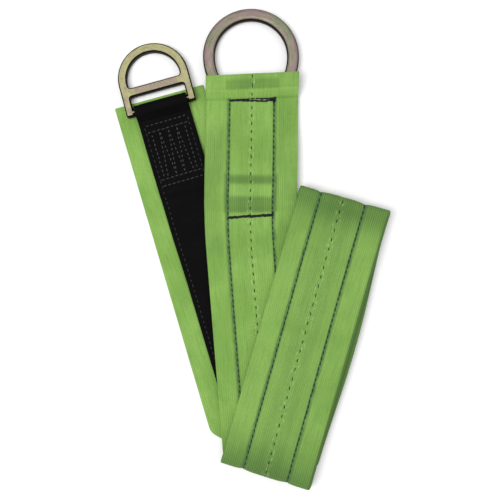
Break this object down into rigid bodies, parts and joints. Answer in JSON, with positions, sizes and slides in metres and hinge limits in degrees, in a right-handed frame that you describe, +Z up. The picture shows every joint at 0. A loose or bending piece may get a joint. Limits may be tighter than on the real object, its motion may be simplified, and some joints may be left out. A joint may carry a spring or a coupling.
{
  "type": "web sling",
  "caption": "Flat web sling with a wide wear pad, folded flat, with a large ring at one end and a slotted D-ring at the other.",
  "frame": {"origin": "middle of the sling's outline on the surface that it lies on", "axes": "+Y along the sling towards the rings, +X across it, +Z up from the surface"},
  "size_m": [0.2266, 0.3959, 0.0194],
  "materials": {
    "wear_pad": "woven polyester webbing, lime green, ribbed lengthwise",
    "load_web": "close-woven nylon webbing, black",
    "seam_thread": "bonded sewing thread, dark, slightly shiny",
    "plated_steel_large": "forged steel, yellow zinc plated, mauve and brown patches",
    "plated_steel_small": "forged steel, yellow zinc plated, khaki gold"
  },
  "bodies": {
    "small_ring_run": {"wear_pad_outer_fold": "wear_pad", "wear_pad_small_ring_run": "wear_pad", "load_web_outer_fold": "load_web", "load_web_small_ring_run": "load_web", "edge_seam_left_outer_fold": "seam_thread", "edge_seam_left_small_ring_run": "seam_thread", "edge_seam_right_outer_fold": "seam_thread", "edge_seam_right_small_ring_run": "seam_thread", "centre_seam_outer_fold": "seam_thread", "small_end_cross_seams": "seam_thread", "small_end_zigzag_seam": "seam_thread", "small_end_side_seams": "seam_thread"},
    "folded_run": {"wear_pad_folded_run": "wear_pad", "load_web_folded_run": "load_web", "edge_seam_left_folded_run": "seam_thread", "edge_seam_right_folded_run": "seam_thread", "centre_seam_folded_run": "seam_thread", "bar_seam_upper": "seam_thread", "bar_seam_lower": "seam_thread"},
    "large_ring": {"large_ring": "plated_steel_large"},
    "small_d_ring": {"small_d_ring": "plated_steel_small"}
  },
  "joints": [
    {"name": "unfold", "type": "hinge", "parent": "small_ring_run", "child": "folded_run", "pos_m": [0.01136, -0.18531, 0.00955], "axis": [0.9532, -0.3024, 0], "range_deg": [0, 180], "deforming": ["wear_pad_outer_fold", "load_web_outer_fold", "edge_seam_left_outer_fold", "edge_seam_right_outer_fold", "centre_seam_outer_fold"]},
    {"name": "large_ring_swing", "type": "hinge", "parent": "folded_run", "child": "large_ring", "pos_m": [0.00094, 0.13481, 0.00675], "axis": [0.999, 0.0436, 0], "range_deg": [-120, 10]},
    {"name": "small_ring_swing", "type": "hinge", "parent": "small_ring_run", "child": "small_d_ring", "pos_m": [-0.07416, 0.11759, 0.0074], "axis": [0.9641, 0.2656, 0], "range_deg": [-8, 150]}
  ]
}
